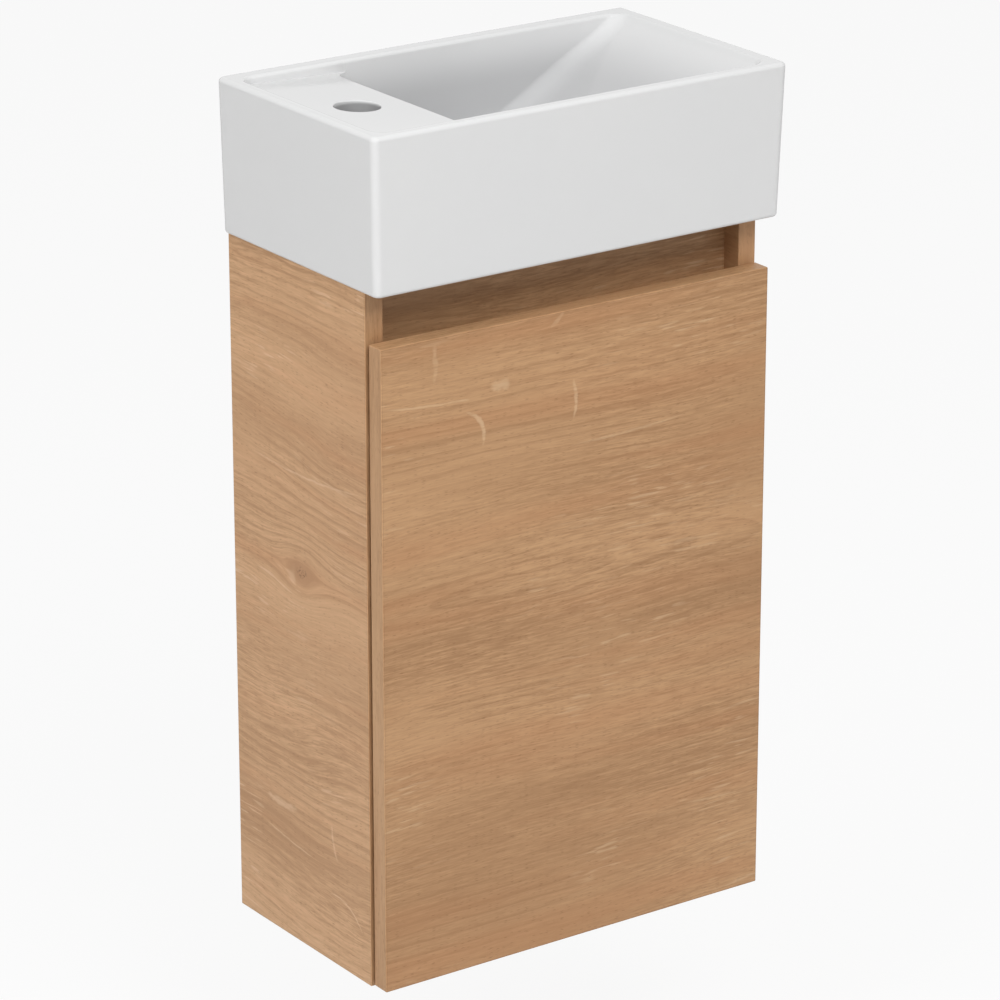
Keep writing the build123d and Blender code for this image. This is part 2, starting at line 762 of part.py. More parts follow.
def hinge_arm(height):
    """The channel-shaped arm: wide over the plate, narrow where it reaches into the cup."""
    panel_u = inner_half - cup_x
    top_u = panel_u - arm_height
    rear_v = arm_rear_pivot[1] + arm_length
    nose_r = knuckle_radius + 0.1
    shoulder_v = arm_rear_pivot[1] + 8.0
    edge_u = panel_u - 6.5
    c = arm_front_pivot
    nose = make_face(
        Polyline(
            (top_u, shoulder_v + 3),
            (top_u, c[1]),
            (c[0] + nose_r, c[1]),
            (arm_rear_pivot[0] + 3.4, arm_rear_pivot[1] - 2.0),
            (arm_rear_pivot[0] + 5.0, shoulder_v),
            (arm_rear_pivot[0] + 5.0, shoulder_v + 3),
            close=True,
        )
    )
    nose += disc((c[0] - (c[0] - top_u) + nose_r, c[1]), nose_r) + disc(c, nose_r)
    for p in (arm_rear_pivot, arm_front_pivot):
        nose -= disc(p, pin_radius + pin_fit)
    arm = pair_of_slabs(height, nose, nose_half - sheet, nose_half)
    cheek = make_face(
        Polyline(
            (top_u, rear_v),
            (top_u, shoulder_v),
            (edge_u - 6, shoulder_v),
            (edge_u, shoulder_v + 8),
            (edge_u, rear_v - 4),
            (edge_u - 4, rear_v),
            close=True,
        )
    )
    arm += pair_of_slabs(height, cheek, nose_half, nose_half + sheet)
    web_wide = Pos(top_u + sheet / 2, (shoulder_v + rear_v) / 2) * Rectangle(sheet, rear_v - shoulder_v)
    arm += slab(height, web_wide, -nose_half - sheet, nose_half + sheet)
    web_nose = Pos(top_u + sheet / 2, (1.0 + shoulder_v + 1) / 2) * Rectangle(sheet, shoulder_v + 1 - 1.0)
    arm += slab(height, web_nose, -nose_half, nose_half)
    for v in adjuster_places():
        x = cup_x + top_u
        y = door_back + v
        arm -= rod("x", (x - 1, y, height), (x + sheet + 1, y, height), adjuster_radius + 0.1)
    return arm


def adjuster_places():
    """How far behind the door's back the two adjusting screws sit."""
    return [arm_rear_pivot[1] + setback for setback in adjuster_setbacks]


def hinge_plate(height):
    """The mounting plate: two screwed wings and a hollow spine that carries the arm."""
    y = panel_front + plate_setback
    x = inner_half
    r = plate_wing_radius
    low = height - plate_screw_spacing / 2
    high = height + plate_screw_spacing / 2
    wing = rod("x", (x - plate_thickness, y, low), (x, y, low), r)
    wing += rod("x", (x - plate_thickness, y, high), (x, y, high), r)
    wing += block(x - plate_thickness, x, y - r, y + r, low, high)
    y0 = door_back + arm_rear_pivot[1] + spine_start
    y1 = door_back + arm_rear_pivot[1] + arm_length - spine_end_gap
    spine = block(x - spine_height, x, y0, y1, height - spine_half_width, height + spine_half_width)
    inside = spine_half_width - spine_side_wall
    hollow = block(x - spine_height + spine_top_wall, x + 1, y0 - 1, y1 + 1, height - inside, height + inside)
    spine -= hollow
    plate = wing + spine
    for s in (-1, 1):
        z = height + s * plate_screw_spacing / 2
        plate -= rod("x", (x - 5, y, z), (x + 1, y, z), plate_screw_radius + 0.1)
    for v in adjuster_places():
        yy = door_back + v
        plate -= rod("x", (x - spine_height - 1, yy, height), (x - spine_height + 3, yy, height), adjuster_radius + 0.1)
    return plate


def closing_springs():
    """The flat springs that lie along the arms and press on the inner links' knuckles."""
    top_u = inner_half - cup_x - arm_height + sheet
    v0 = arm_front_pivot[1] + knuckle_radius + 0.3
    v1 = arm_rear_pivot[1] + 12.0
    strip = Pos(top_u + spring_thickness / 2, (v0 + v1) / 2) * Rectangle(spring_thickness, v1 - v0)
    springs = [slab(h, strip, -spring_half_width, spring_half_width) for h in hinge_heights.values()]
    return all_solids(springs)


def hinge_adjusters():
    """The side and depth adjusting screws that hold each arm to its plate."""
    screws = []
    for h in hinge_heights.values():
        for v in adjuster_places():
            x = inner_half - arm_height
            y = door_back + v
            tip = inner_half - spine_height + spine_top_wall
            screw = rod("x", (x, y, h), (tip, y, h), adjuster_radius)
            head = rod("x", (x - 1.6, y, h), (x, y, h), adjuster_head)
            for turn in (0, 90):
                head -= Pos(x - 1.6, y, h) * Rot(turn, 0, 0) * Box(1.8, 4.6, 0.9)
            screws.append(screw + head)
    return all_solids(screws)


def plate_screws():
    """The screws that hold the hinge plates to the side panel."""
    screws = []
    for x, y, z in plate_screw_places():
        shank = rod("x", (x - plate_thickness, y, z), (x + plate_screw_length, y, z), plate_screw_radius - fitting_fit)
        top = x - plate_thickness
        head = rod("x", (top - 1.8, y, z), (top, y, z), plate_screw_head)
        for turn in (0, 90):
            head -= Pos(top - 1.8, y, z) * Rot(turn, 0, 0) * Box(1.8, 4.8, 1.0)
        screws.append(shank + head)
    return all_solids(screws)


def cup_screws():
    """The wood screws that hold the cups to the door."""
    screws = []
    for x, y, z in cup_screw_places():
        top = y + flange_thickness
        shank = rod("y", (x, y - wood_screw_length, z), (x, top, z), wood_screw_radius - fitting_fit)
        head = rod("y", (x, top, z), (x, top + 1.0, z), wood_screw_head)
        screws.append(shank + head)
    return all_solids(screws)


# Cabinet hangers, in the service void behind the hanging rail


def hanger_screw_places(side):
    """The two adjusting screws of a hanger, as (x, z)."""
    x = side * (inner_half - hook_from_side)
    return [(x, hook_seat + hook_top / 2), (x, hook_seat - 22.0)]


def hanger_body(side):
    """The hanger's tray, with two studs in the side panel."""
    front = hanger_front
    back = hanger_back
    bottom = cabinet_height - hanger_top_gap - hanger_height
    top = bottom + hanger_height
    face = side * inner_half
    x0, x1 = sorted((face, face - side * hanger_width))
    tray = block(x0, x1, front, back, bottom, top)
    in0, in1 = sorted((face - side * hanger_sheet, face - side * (hanger_width - hanger_sheet)))
    tray -= block(in0, in1, front + hanger_sheet, back + 1, bottom + hanger_sheet, top - hanger_sheet)
    for x, y, z in hanger_stud_places(side):
        tray += rod("x", (x - side * 0.5, y, z), (x + side * hanger_stud_length, y, z), hanger_stud_radius - fitting_fit)
    for x, z in hanger_screw_places(side):
        tray -= rod("y", (x, front - 1, z), (x, front + 3, z), hanger_screw_shank + 0.1)
    return tray


def hanger_hook(side):
    """The hook that reaches back over the wall plate's lip."""
    x = side * (inner_half - hook_from_side)
    half = hook_width / 2
    front = hanger_front + hanger_sheet + hook_play
    rear = -hook_wall_gap
    plate_back = front + hook_body_depth
    low = hook_seat - hook_body_height
    hook = block(x - half, x + half, front, plate_back, low, hook_seat + hook_top)
    hook += block(x - half, x + half, front, rear, hook_seat, hook_seat + hook_top)
    hook += block(x - half, x + half, rear - hook_depth, rear, hook_seat - claw_reach, hook_seat)
    return hook


def hanger_screws():
    """The depth and height screws of both hangers, reached from inside the cabinet."""
    screws = []
    for side in (-1, 1):
        for x, z in hanger_screw_places(side):
            front = hanger_front
            tip = front + hanger_sheet + hook_play
            screw = rod("y", (x, front, z), (x, tip, z), hanger_screw_shank)
            head = rod("y", (x, front - 2.4, z), (x, front, z), hanger_screw_head)
            for turn in (0, 90):
                head -= Pos(x, front - 2.4, z) * Rot(0, turn, 0) * Box(6.0, 2.0, 1.1)
            screws.append(screw + head)
    return all_solids(screws)


def wall_plate(side):
    """The plate screwed to the wall: its upper lip stands off so that the hook drops behind it."""
    x = side * (inner_half - hook_from_side)
    half = wall_plate_width / 2
    low = wall_plate_middle - wall_plate_height / 2
    high = wall_plate_middle + wall_plate_height / 2
    t = wall_plate_sheet
    lip_back = -wall_plate_offset
    profile = Polyline(
        (0, low),
        (0, high),
        (lip_back, wall_plate_top),
        (lip_back, hook_seat),
        (lip_back - t, hook_seat),
        (lip_back - t, wall_plate_top - wall_plate_bend),
        (-t, high - wall_plate_bend),
        (-t, low),
        close=True,
    )
    section = Plane(origin=(x - half, 0, 0), x_dir=(0, 1, 0), z_dir=(1, 0, 0)) * make_face(profile)
    plate = extrude(section, amount=2 * half)
    for s in (-1, 1):
        z = wall_plate_middle + s * wall_hole_spacing / 2
        plate -= rod("y", (x, -t - 1, z), (x, 1, z), wall_hole_radius)
    return plate


def pieces():
    """Every node of the vanity unit."""
    low_rail = board + lower_rear_rail_height
    made = {
        "basin": basin(),
        "side_panel_left": side_panel(-1),
        "side_panel_right": side_panel(1),
        "bottom_panel": stretcher("bottom_panel", panel_front, 0, 0, board),
        "grip_rail": stretcher(
            "grip_rail",
            grip_rail_y - board / 2,
            grip_rail_y + board / 2,
            cabinet_height - grip_rail_height,
            cabinet_height,
        ),
        "rear_top_rail": rear_top_rail(),
        "rear_bottom_rail": stretcher(
            "rear_bottom_rail", -service_void - board, -service_void, board, low_rail
        ),
        "shelf": shelf(),
        "shelf_pins": shelf_pins(),
        "door_panel": door_panel(),
        "door_buffers": door_buffers(),
        "cam_locks": cam_locks(),
        "cam_bolts": cam_bolts(),
        "dowels": dowels(),
        "hinge_arm_pins": arm_pins(),
        "hinge_cup_pins": cup_pins(),
        "hinge_springs": closing_springs(),
        "hinge_adjusters": hinge_adjusters(),
        "hinge_plate_screws": plate_screws(),
        "hinge_cup_screws": cup_screws(),
        "hanger_screws": hanger_screws(),
    }
    for name, height in hinge_heights.items():
        made["hinge_cup_" + name] = hinge_cup(height)
        made["hinge_arm_" + name] = hinge_arm(height)
        made["hinge_plate_" + name] = hinge_plate(height)
        made["outer_link_" + name] = outer_link(height)
        made["inner_link_" + name] = inner_link(height)
    for name, side in (("left", -1), ("right", 1)):
        made["hanger_body_" + name] = hanger_body(side)
        made["hanger_hook_" + name] = hanger_hook(side)
        made["wall_plate_" + name] = wall_plate(side)
    return made


os.makedirs("parts", exist_ok=True)
for name, piece in pieces().items():
    export_step(Pos(0, 0, -fixing_height) * piece, "parts/" + name + ".step")
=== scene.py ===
import json
import math

import bpy
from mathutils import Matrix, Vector


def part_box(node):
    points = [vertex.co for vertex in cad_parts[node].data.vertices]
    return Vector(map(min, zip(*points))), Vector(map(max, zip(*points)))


# Wall-hung cloakroom vanity unit: glazed ceramic basin on an oak-faced cabinet.
# Lengths are in metres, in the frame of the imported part.

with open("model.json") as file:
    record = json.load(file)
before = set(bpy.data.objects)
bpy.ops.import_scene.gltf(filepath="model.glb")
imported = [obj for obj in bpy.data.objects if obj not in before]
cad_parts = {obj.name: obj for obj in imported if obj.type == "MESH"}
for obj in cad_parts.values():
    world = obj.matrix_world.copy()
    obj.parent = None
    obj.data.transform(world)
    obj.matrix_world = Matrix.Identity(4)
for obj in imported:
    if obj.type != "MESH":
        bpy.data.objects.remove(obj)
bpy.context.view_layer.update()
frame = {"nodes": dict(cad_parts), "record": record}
nodes = frame["nodes"]
tap_hole = next(mount for mount in frame["record"]["mounts"] if mount["name"] == "tap_hole")


# Shader building


class Shading:
    """Adds nodes to one tree. Each method gives back the socket that carries its result."""

    def __init__(self, tree):
        self.tree = tree

    def put(self, kind, inputs=(), **settings):
        """One node, with its settings and its inputs by name or number."""
        made = self.tree.nodes.new(kind)
        for key, value in settings.items():
            setattr(made, key, value)
        for key, value in dict(inputs).items():
            self.feed(made.inputs[key], value)
        return made

    def feed(self, socket, value):
        """A socket takes either another socket's result or a plain value."""
        if isinstance(value, bpy.types.NodeSocket):
            self.tree.links.new(value, socket)
        elif hasattr(socket.default_value, "__len__") and not hasattr(value, "__len__"):
            socket.default_value = [value] * len(socket.default_value)
        elif socket.type == "RGBA" and len(value) == 3:
            socket.default_value = (*value, 1.0)
        else:
            socket.default_value = value

    def math(self, operation, *values, clamp=False):
        made = self.put("ShaderNodeMath", enumerate(values), operation=operation, use_clamp=clamp)
        return made.outputs[0]

    def vector(self, operation, *values):
        made = self.put("ShaderNodeVectorMath", enumerate(values), operation=operation)
        return made.outputs["Value" if operation in ("LENGTH", "DOT_PRODUCT") else "Vector"]

    def split(self, vector):
        return self.put("ShaderNodeSeparateXYZ", {0: vector}).outputs

    def combine(self, x=0.0, y=0.0, z=0.0):
        return self.put("ShaderNodeCombineXYZ", {0: x, 1: y, 2: z}).outputs[0]

    def noise(self, vector, stretch, detail=2.0, roughness=0.5):
        """Noise from 0 to 1 on a stretched position; stretch is how many waves a metre holds."""
        place = self.vector("MULTIPLY", vector, stretch)
        inputs = {"Vector": place, "Scale": 1.0, "Detail": detail, "Roughness": roughness}
        return self.put("ShaderNodeTexNoise", inputs).outputs[0]

    def cells(self, vector, stretch):
        """The distance to the nearest cell point and the cell's own random colour."""
        place = self.vector("MULTIPLY", vector, stretch)
        made = self.put("ShaderNodeTexVoronoi", {"Vector": place, "Scale": 1.0, "Randomness": 1.0})
        return made.outputs["Distance"], made.outputs["Color"]

    def fade(self, value, low, high, to_low=0.0, to_high=1.0):
        """The value carried smoothly from one range to another, and held at the ends."""
        inputs = {0: value, 1: low, 2: high, 3: to_low, 4: to_high}
        return self.put("ShaderNodeMapRange", inputs, interpolation_type="SMOOTHSTEP").outputs[0]

    def mix(self, share, a, b):
        made = self.put("ShaderNodeMix", {0: share, 2: a, 3: b}, data_type="FLOAT")
        return made.outputs[0]

    def mix_vector(self, share, a, b):
        made = self.put("ShaderNodeMix", {0: share, 4: a, 5: b}, data_type="VECTOR")
        return made.outputs[1]

    def blend(self, share, a, b, mode="MIX"):
        """Two colours mixed by a share."""
        made = self.put("ShaderNodeMix", {0: share, 6: a, 7: b}, data_type="RGBA", blend_type=mode)
        return made.outputs[2]

    def bump(self, height, distance, strength):
        inputs = {"Height": height, "Distance": distance, "Strength": strength}
        return self.put("ShaderNodeBump", inputs).outputs[0]

    def use(self, group, **inputs):
        """A node group, with its inputs by name; an underscore stands for a space."""
        made = self.put("ShaderNodeGroup", node_tree=group)
        for key, value in inputs.items():
            self.feed(made.inputs[key.replace("_", " ")], value)
        return made.outputs


def effect(name, inputs, outputs):
    """A new node group, with the sockets that it takes and gives. Returns it and its shading."""
    group = bpy.data.node_groups.new(name, "ShaderNodeTree")
    kinds = {"value": "NodeSocketFloat", "vector": "NodeSocketVector", "colour": "NodeSocketColor"}
    for key, kind in inputs.items():
        group.interface.new_socket(name=key, in_out="INPUT", socket_type=kinds[kind])
    for key, kind in outputs.items():
        group.interface.new_socket(name=key, in_out="OUTPUT", socket_type=kinds[kind])
    return group, Shading(group)


def entry(shading):
    return shading.put("NodeGroupInput").outputs


def leave(shading, **results):
    out = shading.put("NodeGroupOutput")
    for key, value in results.items():
        shading.feed(out.inputs[key.replace("_", " ")], value)


def material(name):
    """A new material with a Principled surface. Returns it, its shading and the surface node."""
    made = bpy.data.materials.new(name)
    made.use_nodes = True
    made.node_tree.nodes.clear()
    shading = Shading(made.node_tree)
    surface = shading.put("ShaderNodeBsdfPrincipled")
    out = shading.put("ShaderNodeOutputMaterial")
    made.node_tree.links.new(surface.outputs[0], out.inputs[0])
    return made, shading, surface


def finish_surface(shading, surface, **inputs):
    for key, value in inputs.items():
        shading.feed(surface.inputs[key.replace("_", " ")], value)


def object_position(shading):
    return shading.put("ShaderNodeTexCoord").outputs["Object"]


def object_normal(shading):
    return shading.put("ShaderNodeTexCoord").outputs["Normal"]


# Oak face: figure, fibres, pores and rays

# Lengths in metres; shares have no unit
slow_sway = 0.040
quick_sway = 0.0045
knot_push = -1.15
ring_spacing = 0.0085
ring_wander = 2.0
heart_radius = 0.004
ring_shade = 0.17
band_share = 0.62
streak_share = 0.50
fibre_share = 0.80
tone_base = 0.19
ray_ripple = 1.8


def make_oak_figure():
    """The look of sliced oak. Grain position is along the grain, across it and through the board."""
    group, s = effect(
        "oak_figure",
        {
            "Grain position": "vector",
            "Seed": "vector",
            "Heart": "vector",
            "Heart stretch": "value",
            "Waviness": "value",
            "Knot": "vector",
            "Knot size": "value",
            "Ring contrast": "value",
        },
        {"Tone": "value", "Warmth": "value", "Pores": "value", "Fibre": "value", "Knot mask": "value",
         "Flecks": "value"},
    )
    given = entry(s)
    seeded = s.vector("ADD", given["Grain position"], given["Seed"])
    along, across, through = s.split(given["Grain position"])

    # The grain sways, slowly over the board and more quickly over a few centimetres
    slow = s.math("SUBTRACT", s.noise(seeded, (3.2, 5.5, 5.5), 1.0), 0.5)
    quick = s.math("SUBTRACT", s.noise(seeded, (16.0, 42.0, 42.0), 2.0), 0.5)
    sway = s.math("ADD", s.math("MULTIPLY", slow, slow_sway), s.math("MULTIPLY", quick, quick_sway))
    sway = s.math("MULTIPLY", sway, given["Waviness"])

    # The grain parts round a knot
    knot_offset = s.vector("SUBTRACT", given["Grain position"], given["Knot"])
    knot_along, knot_across, _ = s.split(knot_offset)
    flat_offset = s.combine(knot_along, s.math("MULTIPLY", knot_across, 1.5))
    reach = s.math("DIVIDE", s.vector("LENGTH", flat_offset), given["Knot size"])
    near = s.math("EXPONENT", s.math("MULTIPLY", s.math("POWER", reach, 2.0), -1.0))
    swayed = s.math("ADD", across, sway)
    pushed = s.math("MULTIPLY", s.math("MULTIPLY", knot_across, near), knot_push)
    flow = s.math("ADD", swayed, pushed)

    # Rings close into long ovals round the heart
    heart_along, heart_across, _ = s.split(given["Heart"])
    oval_along = s.math("DIVIDE", s.math("SUBTRACT", along, heart_along), given["Heart stretch"])
    oval = s.combine(oval_along, s.math("SUBTRACT", flow, heart_across), heart_radius)
    ring_depth = s.vector("LENGTH", oval)
    uneven = s.noise(s.combine(ring_depth, 0.0, 0.0), (60.0, 1.0, 1.0), 2.0)
    even_count = s.math("DIVIDE", ring_depth, ring_spacing)
    ring_count = s.math("ADD", even_count, s.math("MULTIPLY", uneven, ring_wander))
    phase = s.math("FRACT", ring_count)
    late = s.math("MULTIPLY", s.fade(phase, 0.50, 0.94), s.fade(phase, 1.0, 0.96))
    patch = s.fade(s.noise(seeded, (5.0, 14.0, 14.0), 1.0), 0.42, 0.68)
    near_heart = s.fade(ring_depth, 0.045, 0.010)
    patch = s.math("MAXIMUM", patch, near_heart)
    rings = s.math("MULTIPLY", late, s.math("MULTIPLY", patch, given["Ring contrast"]))

    # Broad bands of tone and fine fibres follow the same flow
    streamed = s.vector("ADD", s.combine(along, flow, through), given["Seed"])
    bands = s.noise(streamed, (2.2, 15.0, 10.0), 2.0, 0.5)
    streaks = s.noise(streamed, (15.0, 240.0, 120.0), 3.0, 0.7)
    fibre = s.noise(streamed, (48.0, 640.0, 500.0), 2.0, 0.7)

    # Pores are short dark dashes
    pore_distance, pore_colour = s.cells(streamed, (150.0, 1000.0, 800.0))
    pore_pick = s.fade(s.split(pore_colour)[0], 0.42, 0.9)
    pores = s.math("MULTIPLY", s.fade(pore_distance, 0.36, 0.12), pore_pick)

    # The fibres are calm in some places and lively in others
    lively = s.fade(s.noise(seeded, (6.0, 9.0, 9.0), 2.0), 0.32, 0.68, 0.45, 1.25)
    streaky = s.math("MULTIPLY", s.math("SUBTRACT", streaks, 0.5), streak_share)
    fibrous = s.math("MULTIPLY", s.math("SUBTRACT", fibre, 0.5), fibre_share)
    fine = s.math("MULTIPLY", s.math("ADD", streaky, fibrous), lively)
    tone = s.math("ADD", s.math("MULTIPLY", bands, band_share), fine)
    tone = s.math("ADD", tone, tone_base)
    tone = s.math("SUBTRACT", tone, s.math("MULTIPLY", rings, ring_shade))
    warmth = s.noise(streamed, (2.5, 38.0, 20.0), 2.0)

    # A knot is a soft dark patch with small cracks in its middle
    shade = s.math("MULTIPLY", s.fade(reach, 0.75, 0.10), 0.20)
    crumbs = s.fade(s.noise(seeded, (400.0, 500.0, 500.0), 2.0), 0.45, 0.60)
    crack = s.math("MULTIPLY", crumbs, s.fade(reach, 0.26, 0.12))
    core = s.math("ADD", shade, s.math("MULTIPLY", crack, 0.60))

    # Short pale streaks lie in loose clouds
    cloud = s.fade(s.noise(seeded, (7.0, 11.0, 11.0), 1.0), 0.46, 0.66)
    short_streaks = s.fade(s.noise(streamed, (38.0, 400.0, 300.0), 1.0), 0.60, 0.72)
    flecks = s.math("MULTIPLY", short_streaks, cloud)
    leave(s, Tone=tone, Warmth=warmth, Pores=pores, Fibre=fibre, Knot_mask=core, Flecks=flecks)
    return group


def make_ray_fleck():
    """One pale ray of the wood: a thin arc on a face. Bow is its radius, below zero the other way."""
    group, s = effect(
        "ray_fleck",
        {"Grain position": "vector", "Middle": "vector", "Turn": "value", "Length": "value",
         "Width": "value", "Bow": "value"},
        {"Mask": "value"},
    )
    given = entry(s)
    wobble = s.math("SUBTRACT", s.noise(given["Grain position"], (150.0, 150.0, 150.0), 2.0), 0.5)
    offset = s.vector("SUBTRACT", given["Grain position"], given["Middle"])
    along, across, _ = s.split(offset)
    cos = s.math("COSINE", given["Turn"])
    sin = s.math("SINE", given["Turn"])
    x = s.math("ADD", s.math("MULTIPLY", along, cos), s.math("MULTIPLY", across, sin))
    y = s.math("SUBTRACT", s.math("MULTIPLY", across, cos), s.math("MULTIPLY", along, sin))
    bend = s.math("DIVIDE", s.math("MULTIPLY", x, x), s.math("MULTIPLY", given["Bow"], 2.0))
    ripple = s.math("MULTIPLY", wobble, s.math("MULTIPLY", given["Width"], ray_ripple))
    y = s.math("ADD", s.math("SUBTRACT", y, bend), ripple)
    end = s.math("DIVIDE", s.math("ABSOLUTE", x), given["Length"])
    side = s.math("DIVIDE", s.math("ABSOLUTE", y), given["Width"])
    inside = s.math("ADD", s.math("POWER", end, 4.0), s.math("POWER", side, 2.0))
    soft = s.fade(inside, 1.2, 0.0)
    torn = s.fade(s.noise(given["Grain position"], (60.0, 420.0, 60.0), 2.0), 0.30, 0.55, 0.40, 1.0)
    leave(s, Mask=s.math("MULTIPLY", soft, torn))
    return group


def make_board_depth():
    """How far a point lies inside three pairs of faces, from their middle and half size."""
    group, s = effect(
        "board_depth",
        {"Position": "vector", "Middle": "vector", "Half size": "vector"},
        {"Depth": "vector", "Least": "value"},
    )
    given = entry(s)
    offset = s.vector("ABSOLUTE", s.vector("SUBTRACT", given["Position"], given["Middle"]))
    depth = s.vector("SUBTRACT", given["Half size"], offset)
    x, y, z = s.split(depth)
    least = s.math("MINIMUM", s.math("MINIMUM", x, y), z)
    leave(s, Depth=depth, Least=least)
    return group


def make_chipboard():
    """The pressed chips inside the boards, seen in bores and on bare edges."""
    group, s = effect("chipboard", {"Position": "vector"}, {"Colour": "colour", "Height": "value"})
    given = entry(s)
    distance, random = s.cells(given["Position"], (900.0, 420.0, 500.0))
    shade = s.split(random)[0]
    grit = s.noise(given["Position"], (1500.0, 1500.0, 1500.0), 2.0)
    colour = s.blend(shade, (0.30, 0.19, 0.10), (0.58, 0.42, 0.26))
    colour = s.blend(s.math("MULTIPLY", grit, 0.4), colour, (0.20, 0.12, 0.06))
    leave(s, Colour=colour, Height=s.math("ADD", distance, grit))
    return group


oak_figure = make_oak_figure()
ray_fleck = make_ray_fleck()
board_depth = make_board_depth()
chipboard = make_chipboard()

oak_pale = (0.600, 0.362, 0.192)
oak_dark = (0.400, 0.222, 0.108)
oak_pore = (0.200, 0.095, 0.040)
oak_ray = (0.735, 0.520, 0.330)
oak_red = (0.520, 0.255, 0.120)
edge_tint = (0.94, 0.925, 0.91)
sheet_thickness = 0.0004
edge_band = 0.0009
facing_limit = 0.6
pore_strength = 0.42
fleck_strength = 0.40
band_line_strength = 0.35


def grain_space(s, position, along, across, through):
    """The position with its parts put in the order along, across and through the grain."""
    parts = dict(zip("xyz", s.split(position)))
    return s.combine(parts[along], parts[across], parts[through])


def oak_board(node, grain, face, seed, heart=(0.0, 0.0), stretch=12.0, waviness=1.0,
              knot=None, knot_size=0.03, ring_contrast=1.0, rays=(), outside=-1, bare=(),
              tint=(1.0, 1.0, 1.0), lift=1.0):
    """Covers one board with oak. Grain is the axis that its fibres follow, face the axis through it.

    Outside is the way along the face axis that shows the rays, and bare lists the sides without a band.
    """
    low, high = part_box(node)
    middle = (low + high) / 2
    half = (high - low) / 2
    made, s, surface = material("oak_on_" + node)
    position = object_position(s)
    plain_normal = object_normal(s)
    way_out = dict(zip("xyz", s.split(plain_normal)))
    normal = s.vector("ABSOLUTE", plain_normal)
    faces = dict(zip("xyz", s.split(normal)))
    depth = s.use(board_depth, Position=position, Middle=middle, Half_size=half)
    depths = dict(zip("xyz", s.split(depth["Depth"])))
    side = next(axis for axis in "xyz" if axis not in (grain, face))

    # On the broad faces the grain follows the board; on the edges it follows the edge band
    on_face = s.math("GREATER_THAN", faces[face], facing_limit)
    on_outside = s.math("GREATER_THAN", s.math("MULTIPLY", way_out[face], float(outside)), facing_limit)
    on_end = s.math("GREATER_THAN", faces[grain], facing_limit)
    local = s.vector("SUBTRACT", position, middle)
    broad = grain_space(s, local, grain, side, face)
    long_edge = grain_space(s, local, grain, face, side)
    end_edge = grain_space(s, local, side, face, grain)
    edge = s.mix_vector(on_end, long_edge, end_edge)
    place = s.mix_vector(on_face, edge, broad)

    knot_place = (*knot, 0.0) if knot else (9.0, 9.0, 0.0)
    figure = s.use(
        oak_figure,
        Grain_position=place,
        Seed=seed,
        Heart=(*heart, 0.0),
        Heart_stretch=stretch,
        Waviness=s.math("MULTIPLY", on_face, waviness),
        Knot=knot_place,
        Knot_size=knot_size,
        Ring_contrast=s.math("MULTIPLY", on_face, ring_contrast),
    )
    colour = s.blend(s.fade(figure["Tone"], 0.22, 0.78), oak_dark, oak_pale)
    reddish = s.math("MULTIPLY", s.fade(figure["Warmth"], 0.45, 0.75), 0.35)
    colour = s.blend(reddish, colour, oak_red)
    colour = s.blend(s.math("MULTIPLY", figure["Pores"], pore_strength), colour, oak_pore)
    pale = s.math("MULTIPLY", s.math("MULTIPLY", figure["Flecks"], on_face), fleck_strength)
    for centre, turn, length, width, bow, strength in rays:
        ray = s.use(ray_fleck, Grain_position=place, Middle=(*centre, 0.0), Turn=math.radians(turn),
                    Length=length / 2, Width=width / 2, Bow=bow)
        shown = s.math("MULTIPLY", s.math("MULTIPLY", ray["Mask"], strength), on_outside)
        pale = s.math("MAXIMUM", pale, shown)
    colour = s.blend(pale, colour, oak_ray)
    if knot:
        dark_core = s.math("MULTIPLY", figure["Knot mask"], on_face)
        colour = s.blend(dark_core, colour, oak_pore)
    on_edges = s.blend(1.0, colour, edge_tint, "MULTIPLY")
    on_faces = s.blend(1.0, colour, tuple(part * lift for part in tint), "MULTIPLY")
    colour = s.blend(on_face, on_edges, on_faces)

    # The edge bands end in a fine line on the broad faces
    to_edge = s.math("MINIMUM", depths[grain], depths[side])
    line = s.math("MULTIPLY", s.fade(to_edge, edge_band + 0.00035, edge_band + 0.0001),
                  s.fade(to_edge, edge_band - 0.0003, edge_band))
    line = s.math("MULTIPLY", line, on_face)
    colour = s.blend(s.math("MULTIPLY", line, band_line_strength), colour, oak_pore)

    # Bores and bare edges show the chips inside
    chips = s.use(chipboard, Position=position)
    inside = s.math("GREATER_THAN", depth["Least"], sheet_thickness)
    for axis, way in bare:
        facing = s.math("GREATER_THAN", s.math("MULTIPLY", way_out[axis], float(way)), facing_limit)
        inside = s.math("MAXIMUM", inside, facing)
    colour = s.blend(inside, colour, chips["Colour"])
    relief = s.math("SUBTRACT", s.math("MULTIPLY", figure["Fibre"], 0.4), figure["Pores"])
    relief = s.mix(inside, relief, chips["Height"])
    roughness = s.fade(figure["Tone"], 0.2, 0.8, 0.50, 0.40)
    roughness = s.math("ADD", roughness, s.math("MULTIPLY", figure["Pores"], 0.15))
    roughness = s.mix(inside, roughness, 0.85)
    finish_surface(s, surface, Base_Color=colour, Roughness=roughness,
                   Normal=s.bump(relief, 0.00005, 0.6))
    surface.inputs["Specular IOR Level"].default_value = 0.4
    cover(node, made)


def cover(node, made):
    """Gives a carried-over node its finish."""
    mesh = nodes[node].data
    mesh.materials.clear()
    mesh.materials.append(made)


# Ceramic glaze, with the bare clay of the wall face and the foot

glaze_cool = (0.735, 0.738, 0.741)
glaze_warm = (0.752, 0.752, 0.749)
glaze_speck = (0.55, 0.53, 0.50)
# Painted shade down the bowl, not the glaze's own colour
painted_bowl_shade = (0.520, 0.522, 0.527)
# Painted shade inside the tap hole, not the glaze's own colour
painted_tap_hole_shade = (0.38, 0.38, 0.385)
clay_dark = (0.62, 0.58, 0.52)
clay_pale = (0.74, 0.71, 0.66)


